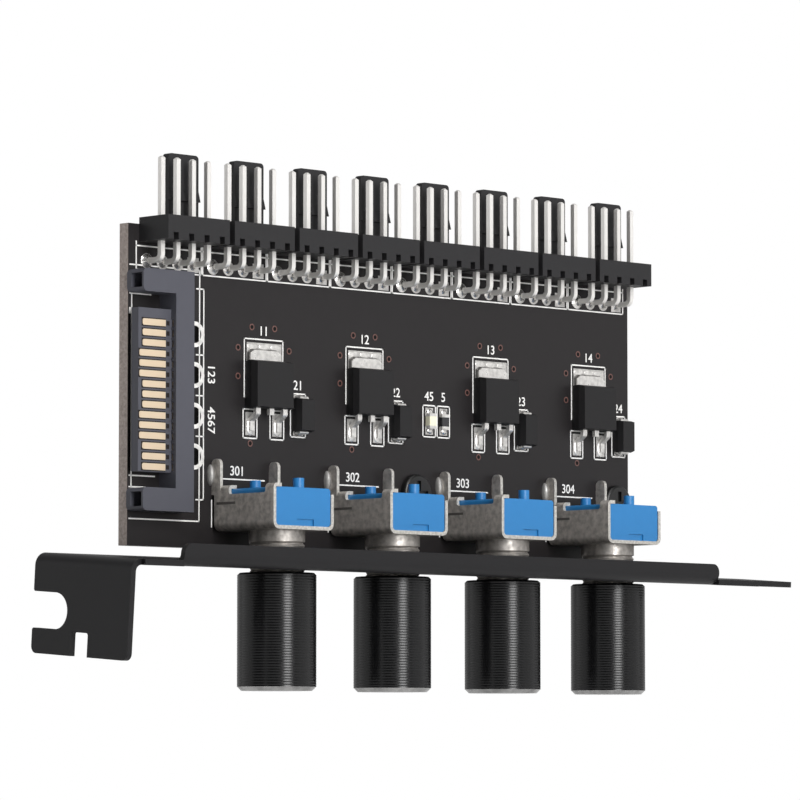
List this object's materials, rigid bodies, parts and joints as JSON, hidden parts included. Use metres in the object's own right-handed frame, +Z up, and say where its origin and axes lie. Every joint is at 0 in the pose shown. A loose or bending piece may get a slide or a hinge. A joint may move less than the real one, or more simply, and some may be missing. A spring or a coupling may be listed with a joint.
{
  "type": "pc fan controller hub",
  "caption": "Expansion-slot card with speed knobs under a folded slot bracket, and a board above it with fan headers, transistors and a power plug.",
  "frame": {"origin": "centre of the screw slot on the bracket tab's seating face", "axes": "+X along the bracket from tab to tip, +Z up the board and away from the knobs, components face -Y"},
  "size_m": [0.1201, 0.0193, 0.0664],
  "materials": {
    "powder_coat": "satin powder coat",
    "solder_mask": "black solder mask over glass laminate",
    "header_plastic": "moulded, slightly rough",
    "pin_metal": "tinned, bright",
    "plug_plastic": "moulded, matt blue-grey",
    "contact_gold": "pale gold flash",
    "package_resin": "matt moulded resin",
    "tinned_lead": "tinned, soft",
    "lamp_lens": "clear resin",
    "chip_resistor": "glazed ceramic",
    "rivet_plastic": "moulded",
    "shell_steel": "plated sheet, dull",
    "pot_blue": "moulded, satin",
    "bushing_metal": "die cast, plated",
    "track_board": "carbon track on laminate",
    "rotor_plastic": "moulded",
    "shaft_metal": "turned",
    "knob_black": "gloss black over fine turned rings"
  },
  "bodies": {
    "card": {"bracket": "powder_coat", "board": "solder_mask", "fan_header_pins": "pin_metal", "power_plug_housing": "plug_plastic", "power_plug_contacts": "contact_gold", "diode_terminals": "tinned_lead", "lamp": "lamp_lens", "resistor": "chip_resistor", "chip_caps": "tinned_lead", "pot_terminals": "tinned_lead", "pot_tracks": "track_board", "fan_header_1": "header_plastic", "fan_header_2": "header_plastic", "fan_header_3": "header_plastic", "fan_header_4": "header_plastic", "fan_header_5": "header_plastic", "fan_header_6": "header_plastic", "fan_header_7": "header_plastic", "fan_header_8": "header_plastic", "transistor_body_1": "package_resin", "transistor_leads_1": "tinned_lead", "diode_1": "package_resin", "pot_shell_1": "shell_steel", "pot_body_1": "pot_blue", "pot_bushing_1": "bushing_metal", "transistor_body_2": "package_resin", "transistor_leads_2": "tinned_lead", "diode_2": "package_resin", "pot_shell_2": "shell_steel", "pot_body_2": "pot_blue", "pot_bushing_2": "bushing_metal", "transistor_body_3": "package_resin", "transistor_leads_3": "tinned_lead", "diode_3": "package_resin", "pot_shell_3": "shell_steel", "pot_body_3": "pot_blue", "pot_bushing_3": "bushing_metal", "transistor_body_4": "package_resin", "transistor_leads_4": "tinned_lead", "diode_4": "package_resin", "pot_shell_4": "shell_steel", "pot_body_4": "pot_blue", "pot_bushing_4": "bushing_metal", "board_rivet_1": "rivet_plastic", "board_rivet_2": "rivet_plastic"},
    "turning_set_1": {"knob_1": "knob_black", "pot_shaft_1": "shaft_metal", "pot_wiper_1": "rotor_plastic"},
    "turning_set_2": {"knob_2": "knob_black", "pot_shaft_2": "shaft_metal", "pot_wiper_2": "rotor_plastic"},
    "turning_set_3": {"knob_3": "knob_black", "pot_shaft_3": "shaft_metal", "pot_wiper_3": "rotor_plastic"},
    "turning_set_4": {"knob_4": "knob_black", "pot_shaft_4": "shaft_metal", "pot_wiper_4": "rotor_plastic"}
  },
  "joints": [
    {"name": "knob_turn_1", "type": "hinge", "parent": "card", "child": "turning_set_1", "pos_m": [0.0305, -0.00546, 0.00518], "axis": [0, 0, 1], "range_deg": [-140, 140]},
    {"name": "knob_turn_2", "type": "hinge", "parent": "card", "child": "turning_set_2", "pos_m": [0.0505, -0.00546, 0.00518], "axis": [0, 0, 1], "range_deg": [-140, 140]},
    {"name": "knob_turn_3", "type": "hinge", "parent": "card", "child": "turning_set_3", "pos_m": [0.0705, -0.00546, 0.00518], "axis": [0, 0, 1], "range_deg": [-140, 140]},
    {"name": "knob_turn_4", "type": "hinge", "parent": "card", "child": "turning_set_4", "pos_m": [0.0905, -0.00546, 0.00518], "axis": [0, 0, 1], "range_deg": [-140, 140]}
  ]
}
